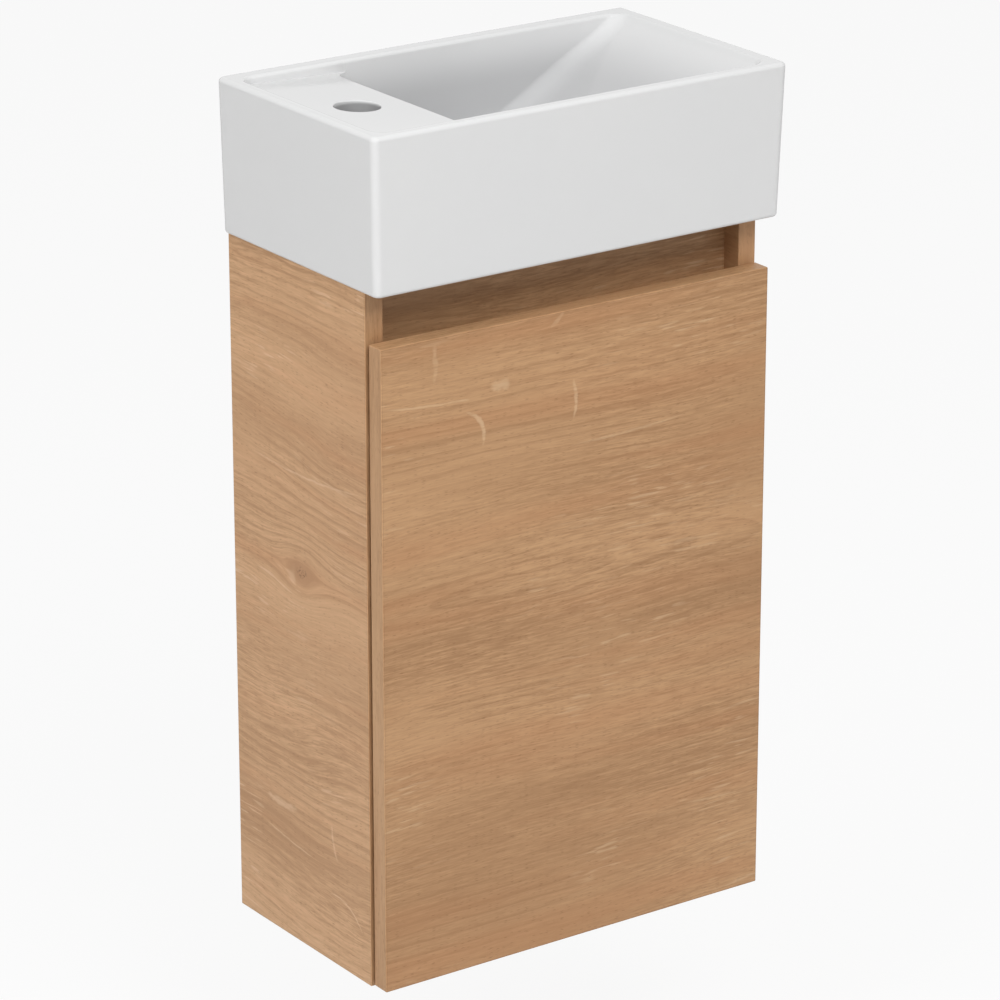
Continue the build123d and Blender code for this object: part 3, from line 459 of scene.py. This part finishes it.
def make_glaze():
    made, s, surface = material("white_glaze")
    position = object_position(s)
    cloud = s.noise(position, (9.0, 9.0, 9.0), 2.0)
    pool = s.noise(position, (45.0, 45.0, 45.0), 2.0)
    speck_distance, speck_colour = s.cells(position, (130.0, 130.0, 130.0))
    speck_pick = s.fade(s.split(speck_colour)[0], 0.90, 0.94)
    specks = s.math("MULTIPLY", s.fade(speck_distance, 0.09, 0.03), speck_pick)
    colour = s.blend(cloud, glaze_cool, glaze_warm)
    colour = s.blend(s.math("MULTIPLY", specks, 0.10), colour, glaze_speck)

    # Painted shade: the glaze is written a shade greyer down the bowl and grey inside the tap hole, in
    # place of the shade that falls there; the glaze itself is evenly white
    low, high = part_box("basin")
    x, y, z = s.split(position)
    depth = s.use(board_depth, Position=position, Middle=(low + high) / 2, Half_size=(high - low) / 2)
    depth_x, depth_y, _ = s.split(depth["Depth"])
    bowl_shade_in_plan = s.fade(s.math("MINIMUM", depth_x, depth_y), 0.006, 0.009)
    bowl_shade_by_depth = s.fade(z, high.z - 0.002, high.z - 0.038)
    colour = s.blend(s.math("MULTIPLY", bowl_shade_in_plan, bowl_shade_by_depth), colour, painted_bowl_shade)
    tap_x, tap_y, tap_middle = tap_hole["pos_m"]
    tap_top = tap_middle + tap_hole["dims"]["length_mm"] / 2000
    from_tap = s.vector("LENGTH", s.combine(s.math("SUBTRACT", x, tap_x), s.math("SUBTRACT", y, tap_y)))
    below_ledge = s.fade(z, tap_top - 0.0010, tap_top - 0.0035)
    # Painted shade inside the tap hole, below the ledge
    tap_hole_shade_mask = s.math("MULTIPLY", s.fade(from_tap, 0.0187, 0.0180), below_ledge)
    colour = s.blend(tap_hole_shade_mask, colour, painted_tap_hole_shade)
    on_wall = s.fade(y, -0.0008, -0.0002)
    on_foot = s.fade(z, low.z + 0.0012, low.z + 0.0004)
    bare = s.math("MAXIMUM", on_wall, on_foot)
    clay_grain = s.noise(position, (700.0, 700.0, 700.0), 3.0)
    clay = s.blend(clay_grain, clay_dark, clay_pale)
    colour = s.blend(bare, colour, clay)
    roughness = s.fade(pool, 0.3, 0.7, 0.055, 0.085)
    roughness = s.mix(bare, roughness, 0.8)
    clay_relief = s.math("MULTIPLY", s.math("MULTIPLY", clay_grain, bare), 0.4)
    relief = s.math("ADD", s.math("MULTIPLY", pool, 0.5), clay_relief)
    finish_surface(s, surface, Base_Color=colour, Roughness=roughness,
                   Normal=s.bump(relief, 0.00012, 0.25))
    surface.inputs["IOR"].default_value = 1.52
    return made


# Metals, plastic, rubber and beech


def make_metal_marks():
    """Marks of pressing, polishing and handling on a metal surface."""
    group, s = effect(
        "metal_marks",
        {"Position": "vector", "Scratch direction": "vector"},
        {"Scratches": "value", "Smudges": "value", "Pits": "value"},
    )
    given = entry(s)
    stretched = s.vector("MULTIPLY", given["Position"], given["Scratch direction"])
    scratches = s.noise(stretched, (1.0, 1.0, 1.0), 3.0, 0.7)
    smudges = s.noise(given["Position"], (70.0, 70.0, 70.0), 2.0)
    pit_distance, _ = s.cells(given["Position"], (1400.0, 1400.0, 1400.0))
    leave(s, Scratches=scratches, Smudges=smudges, Pits=s.fade(pit_distance, 0.25, 0.05))
    return group


metal_marks = make_metal_marks()


def make_metal(name, pale, dull, roughness, scratch_direction, pitting):
    made, s, surface = material(name)
    position = object_position(s)
    marks = s.use(metal_marks, Position=position, Scratch_direction=scratch_direction)
    pointiness = s.put("ShaderNodeNewGeometry").outputs["Pointiness"]
    worn = s.fade(pointiness, 0.52, 0.60)
    smudged = s.math("MULTIPLY", marks["Smudges"], 0.6)
    share = s.math("ADD", smudged, s.math("MULTIPLY", marks["Scratches"], 0.4))
    colour = s.blend(s.fade(share, 0.3, 0.7), dull, pale)
    colour = s.blend(s.math("MULTIPLY", worn, 0.5), colour, tuple(min(1.0, c * 1.15) for c in pale))
    colour = s.blend(s.math("MULTIPLY", marks["Pits"], pitting), colour, tuple(c * 0.5 for c in dull))
    rough = s.fade(share, 0.25, 0.75, roughness + 0.09, roughness - 0.05)
    rough = s.math("SUBTRACT", rough, s.math("MULTIPLY", worn, 0.05))
    relief = s.math("SUBTRACT", marks["Scratches"], s.math("MULTIPLY", marks["Pits"], pitting))
    finish_surface(s, surface, Base_Color=colour, Roughness=rough, Normal=s.bump(relief, 0.00003, 0.35))
    surface.inputs["Metallic"].default_value = 1.0
    return made


def make_grey_plastic():
    made, s, surface = material("moulded_grey_plastic")
    position = object_position(s)
    cloud = s.noise(position, (60.0, 60.0, 60.0), 2.0)
    sparks = s.noise(position, (2600.0, 2600.0, 2600.0), 2.0)
    pointiness = s.put("ShaderNodeNewGeometry").outputs["Pointiness"]
    worn = s.fade(pointiness, 0.52, 0.62)
    colour = s.blend(cloud, (0.235, 0.240, 0.245), (0.290, 0.295, 0.300))
    colour = s.blend(s.math("MULTIPLY", worn, 0.4), colour, (0.42, 0.42, 0.42))
    roughness = s.fade(sparks, 0.3, 0.7, 0.42, 0.55)
    finish_surface(s, surface, Base_Color=colour, Roughness=roughness, Normal=s.bump(sparks, 0.00003, 0.5))
    return made


def make_clear_rubber():
    made, s, surface = material("clear_rubber")
    position = object_position(s)
    cloud = s.noise(position, (300.0, 300.0, 300.0), 2.0)
    dust = s.noise(position, (2200.0, 2200.0, 2200.0), 3.0)
    colour = s.blend(cloud, (0.70, 0.70, 0.67), (0.82, 0.82, 0.80))
    colour = s.blend(s.math("MULTIPLY", s.fade(dust, 0.6, 0.8), 0.4), colour, (0.5, 0.48, 0.45))
    roughness = s.fade(dust, 0.3, 0.7, 0.28, 0.42)
    finish_surface(s, surface, Base_Color=colour, Roughness=roughness, Normal=s.bump(dust, 0.00002, 0.4))
    surface.inputs["Transmission Weight"].default_value = 0.35
    surface.inputs["IOR"].default_value = 1.42
    return made


def make_beech():
    made, s, surface = material("beech_dowel")
    position = object_position(s)
    fibre = s.noise(position, (60.0, 900.0, 900.0), 3.0)
    flecks, _ = s.cells(position, (400.0, 2400.0, 2400.0))
    colour = s.blend(fibre, (0.56, 0.37, 0.21), (0.72, 0.53, 0.33))
    colour = s.blend(s.math("MULTIPLY", s.fade(flecks, 0.3, 0.1), 0.3), colour, (0.36, 0.20, 0.10))
    finish_surface(s, surface, Base_Color=colour, Roughness=s.fade(fibre, 0.3, 0.7, 0.6, 0.7),
                   Normal=s.bump(fibre, 0.00008, 0.5))
    return made


glaze = make_glaze()
nickel = make_metal(
    "nickel_plate", pale=(0.66, 0.64, 0.60), dull=(0.50, 0.485, 0.455), roughness=0.24,
    scratch_direction=(160.0, 160.0, 1500.0), pitting=0.2,
)
zinc = make_metal(
    "bright_zinc", pale=(0.66, 0.68, 0.71), dull=(0.46, 0.48, 0.51), roughness=0.32,
    scratch_direction=(600.0, 600.0, 600.0), pitting=0.35,
)
pin_steel = make_metal(
    "drawn_pin_steel", pale=(0.56, 0.56, 0.56), dull=(0.38, 0.38, 0.39), roughness=0.28,
    scratch_direction=(1800.0, 1800.0, 120.0), pitting=0.15,
)
grey_plastic = make_grey_plastic()
clear_rubber = make_clear_rubber()
beech = make_beech()

finishes = {
    "ceramic": glaze,
    "nickel": nickel,
    "zinc": zinc,
    "pin_steel": pin_steel,
    "grey_plastic": grey_plastic,
    "clear_rubber": clear_rubber,
    "beech": beech,
}
for subpart in frame["record"]["subparts"]:
    finish = finishes.get(subpart["material_slot"])
    if finish:
        cover(subpart["node"], finish)

# Boards. Places on a board are given along and across its grain from its middle.

# A ray has its middle, turn in degrees, length, width, bow and strength

door_rays = [
    ((-0.130, 0.237), 90, 0.034, 0.0045, 0.20, 0.30),
    ((-0.072, 0.209), 0, 0.018, 0.0090, 0.10, 0.50),
    ((-0.089, 0.183), -62, 0.034, 0.0044, -0.020, 0.60),
    ((-0.003, 0.186), 92, 0.032, 0.0034, 0.060, 0.55),
    ((-0.145, 0.206), -5, 0.060, 0.0020, 0.50, 0.45),
    ((-0.110, 0.204), -3, 0.022, 0.0020, 0.50, 0.55),
    ((-0.020, 0.250), 40, 0.016, 0.0040, 0.05, 0.30),
    ((0.045, 0.150), 2, 0.110, 0.0022, 0.90, 0.35),
    ((0.130, -0.172), -3, 0.050, 0.0020, 0.50, 0.35),
]
side_rays = [
    ((0.030, -0.168), 0, 0.044, 0.0070, 0.50, 0.40),
    ((-0.042, -0.176), 75, 0.030, 0.0030, 0.06, 0.40),
    ((-0.062, -0.222), -158, 0.050, 0.0020, 0.040, 0.50),
    ((0.020, -0.196), 7, 0.070, 0.0018, 0.60, 0.40),
    ((-0.010, 0.110), -2, 0.150, 0.0022, 0.60, 0.40),
]

oak_board("door_panel", "x", "y", (3.1, 1.7, 0.4), heart=(-0.050, 0.048), stretch=10.0, waviness=0.55,
          ring_contrast=0.9, rays=door_rays, tint=(1.0, 0.970, 0.925), lift=0.97)
oak_board("side_panel_left", "y", "x", (7.3, 4.9, 2.2), heart=(0.6, -0.55), stretch=7.0, waviness=1.3,
          knot=(-0.003, 0.032), knot_size=0.034, rays=side_rays, bare=(("y", 1), ("z", 1)),
          ring_contrast=1.0, tint=(1.0, 1.01, 1.04), lift=1.17)
oak_board("side_panel_right", "y", "x", (1.9, 8.3, 5.1), heart=(-0.2, 0.18), stretch=6.0,
          bare=(("y", 1), ("z", 1)))
oak_board("bottom_panel", "x", "z", (4.4, 2.6, 6.3), heart=(0.2, 0.05), bare=(("y", 1),))
oak_board("shelf", "x", "z", (6.8, 3.5, 1.4), heart=(-0.15, -0.02))
oak_board("grip_rail", "x", "y", (2.7, 6.4, 3.8), heart=(0.25, 0.03), waviness=0.6, bare=(("z", 1),))
oak_board("rear_top_rail", "x", "y", (9.2, 0.8, 4.6), heart=(0.1, -0.06), bare=(("z", 1),))
oak_board("rear_bottom_rail", "x", "y", (5.5, 9.7, 7.9), heart=(-0.3, 0.05))


# Studio


def studio_floor():
    """A plain pale floor under the hung unit. It looks nearly white, and the soft shadow stays on it."""
    rim_over_floor = 0.85
    floor_size = 60.0
    floor_colour = (0.86, 0.86, 0.86, 1.0)
    white_share = 0.90
    floor_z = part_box("basin")[1].z - rim_over_floor
    bpy.ops.mesh.primitive_plane_add(size=floor_size, location=(0.0, 0.0, floor_z))
    floor = bpy.context.object
    floor.name = "studio_floor"
    made = bpy.data.materials.new("pale_floor")
    made.use_nodes = True
    made.node_tree.nodes.clear()
    s = Shading(made.node_tree)
    diffuse = s.put("ShaderNodeBsdfDiffuse", {"Color": floor_colour})
    glow = s.put("ShaderNodeEmission", {"Color": (1.0, 1.0, 1.0, 1.0), "Strength": 1.0})
    seen = s.put("ShaderNodeLightPath").outputs["Is Camera Ray"]
    shown = s.put("ShaderNodeMixShader", {0: s.math("MULTIPLY", seen, white_share)})
    out = s.put("ShaderNodeOutputMaterial")
    made.node_tree.links.new(diffuse.outputs[0], shown.inputs[1])
    made.node_tree.links.new(glow.outputs[0], shown.inputs[2])
    made.node_tree.links.new(shown.outputs[0], out.inputs[0])
    floor.data.materials.append(made)


def soft_light(name, place, aim, width, height, watts):
    """A soft box that looks at a point. Glossy faces mirror the white round it, not the lamp."""
    lamp = bpy.data.lights.new(name, "AREA")
    lamp.shape = "RECTANGLE"
    lamp.size = width
    lamp.size_y = height
    lamp.energy = watts
    holder = bpy.data.objects.new(name, lamp)
    bpy.context.scene.collection.objects.link(holder)
    holder.location = place
    holder.visible_glossy = False
    holder.rotation_euler = (Vector(aim) - Vector(place)).to_track_quat("-Z", "Y").to_euler()


def studio_world(ambient):
    """White to the camera, to reflections and through glass; a plain even level as light."""
    world = bpy.data.worlds.new("studio")
    world.use_nodes = True
    world.node_tree.nodes.clear()
    s = Shading(world.node_tree)
    rays = s.put("ShaderNodeLightPath").outputs
    bounced = s.math("MAXIMUM", rays["Is Glossy Ray"], rays["Is Transmission Ray"])
    seen = s.math("MAXIMUM", rays["Is Camera Ray"], bounced)
    strength = s.mix(seen, ambient, 1.0)
    background = s.put("ShaderNodeBackground", {"Color": (1.0, 1.0, 1.0, 1.0), "Strength": strength})
    out = s.put("ShaderNodeOutputWorld")
    world.node_tree.links.new(background.outputs[0], out.inputs[0])
    bpy.context.scene.world = world


def camera():
    """The photograph's view: a long lens from the left, a little above the basin."""
    azimuth = math.radians(-35.10)
    elevation = math.radians(19.90)
    distance = 3.650
    aim = Vector((0.0003, -0.1002, -0.1595))
    back = Vector((
        math.sin(azimuth) * math.cos(elevation),
        -math.cos(azimuth) * math.cos(elevation),
        math.sin(elevation),
    ))
    lens = bpy.data.cameras.new("camera")
    lens.lens = 170.3
    lens.sensor_width = 36.0
    lens.clip_end = 50.0
    holder = bpy.data.objects.new("camera", lens)
    bpy.context.scene.collection.objects.link(holder)
    holder.location = aim + back * distance
    holder.rotation_euler = (-back).to_track_quat("-Z", "Y").to_euler()
    bpy.context.scene.camera = holder


studio_floor()
studio_world(ambient=0.37)
basin_front = (0.0, -0.1, 0.0)
cabinet_upper = (0.0, -0.1, -0.1)
soft_light("key_light", (-0.5, -2.4, 2.3), basin_front, width=1.5, height=1.2, watts=52.0)
soft_light("left_light", (-2.5, -0.7, 1.8), cabinet_upper, width=1.4, height=1.4, watts=37.0)
soft_light("right_light", (2.4, -1.0, 1.9), cabinet_upper, width=1.2, height=1.2, watts=8.0)
camera()
bpy.context.scene.view_settings.view_transform = "Standard"
